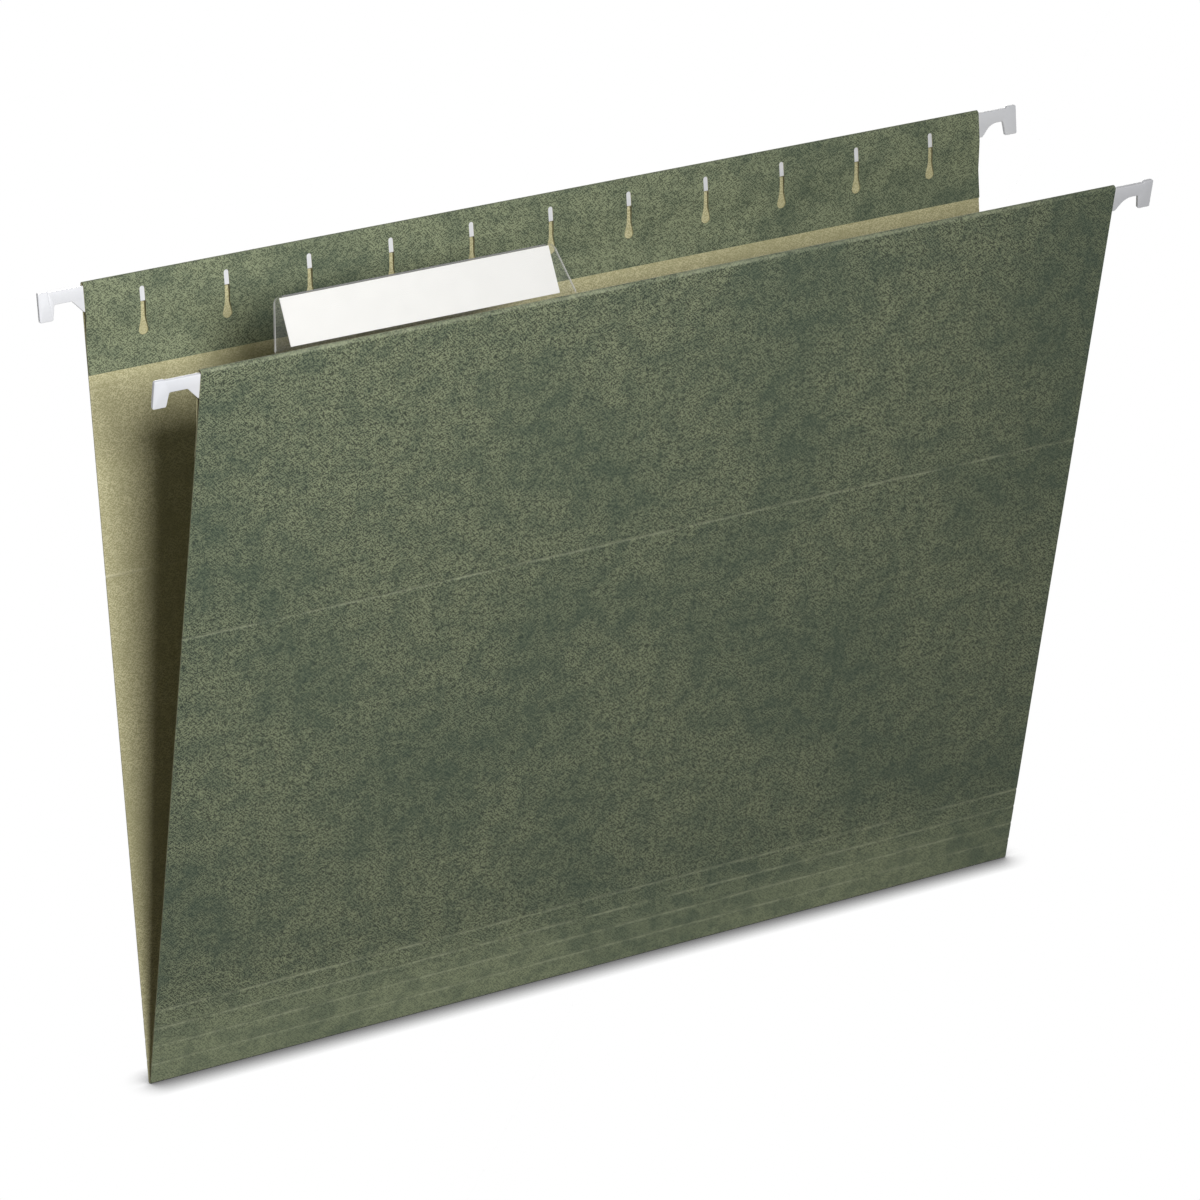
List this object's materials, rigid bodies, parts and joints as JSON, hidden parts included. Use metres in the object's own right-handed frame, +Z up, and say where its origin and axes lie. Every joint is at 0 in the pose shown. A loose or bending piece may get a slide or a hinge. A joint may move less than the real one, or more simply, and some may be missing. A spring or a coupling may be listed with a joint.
{
  "type": "hanging file folder",
  "caption": "Green paper hanging file folder: a V of two scored panels on flat hooked rods, with slotted flaps and a clear tilting tab that holds a label.",
  "frame": {"origin": "where the folder hangs: midway between the two rods, level with the undersides of their hooks", "axes": "+X along the rods, to the right as seen from the front; -Y to the front, where the tab is; +Z up"},
  "size_m": [0.326, 0.073, 0.249],
  "materials": {
    "folder_stock": "matte, green outside and tan inside",
    "coated_steel": "satin white coating",
    "glue": "dried film",
    "clear_vinyl": "clear, glossy",
    "label_paper": "smooth white"
  },
  "bodies": {
    "back_upper": {"back_upper_panel": "folder_stock", "back_top_fold": "folder_stock", "back_flap": "folder_stock", "back_glue_line": "glue", "back_rod": "coated_steel"},
    "back_lower": {"back_lower_panel": "folder_stock"},
    "back_base": {"back_base": "folder_stock", "bottom_crease": "folder_stock"},
    "front_base": {"front_base": "folder_stock"},
    "front_lower": {"front_lower_panel": "folder_stock"},
    "front_upper": {"front_upper_panel": "folder_stock", "front_top_fold": "folder_stock", "front_flap": "folder_stock", "front_glue_line": "glue", "front_rod": "coated_steel", "tab_foot": "clear_vinyl"},
    "tab": {"tab_seam": "clear_vinyl", "tab_window": "clear_vinyl", "tab_back_leaf": "clear_vinyl", "tab_crest": "clear_vinyl"},
    "label": {"label_insert": "label_paper"}
  },
  "joints": [
    {"name": "back_mid_score", "type": "hinge", "parent": "back_upper", "child": "back_lower", "pos_m": [0, 0.02355, -0.08007], "axis": [-1, 0, 0], "range_deg": [-90, 30]},
    {"name": "back_base_score", "type": "hinge", "parent": "back_lower", "child": "back_base", "pos_m": [0, 0.00434, -0.20561], "axis": [-1, 0, 0], "range_deg": [0, 8.2]},
    {"name": "bottom_fold", "type": "hinge", "parent": "back_base", "child": "front_base", "pos_m": [0, 0, -0.23064], "axis": [1, 0, 0], "range_deg": [-16.4, 162.6]},
    {"name": "front_base_score", "type": "hinge", "parent": "front_base", "child": "front_lower", "pos_m": [0, -0.00434, -0.20561], "axis": [-1, 0, 0], "range_deg": [0, 8.2]},
    {"name": "front_mid_score", "type": "hinge", "parent": "front_lower", "child": "front_upper", "pos_m": [0, -0.02355, -0.08007], "axis": [-1, 0, 0], "range_deg": [-90, 30]},
    {"name": "tab_tilt", "type": "hinge", "parent": "front_upper", "child": "tab", "pos_m": [-0.0789, -0.03452, 0.00467], "axis": [-1, 0, 0], "range_deg": [-38.7, 40], "stiffness_Nm_per_rad": 0.003},
    {"name": "label_slide", "type": "slide", "parent": "tab", "child": "label", "axis": [1, 0, 0], "range_m": [-0.08, 0.08]}
  ],
  "couplings": [
    {"joint": "front_base_score", "follows": "back_base_score", "ratio": 1}
  ]
}
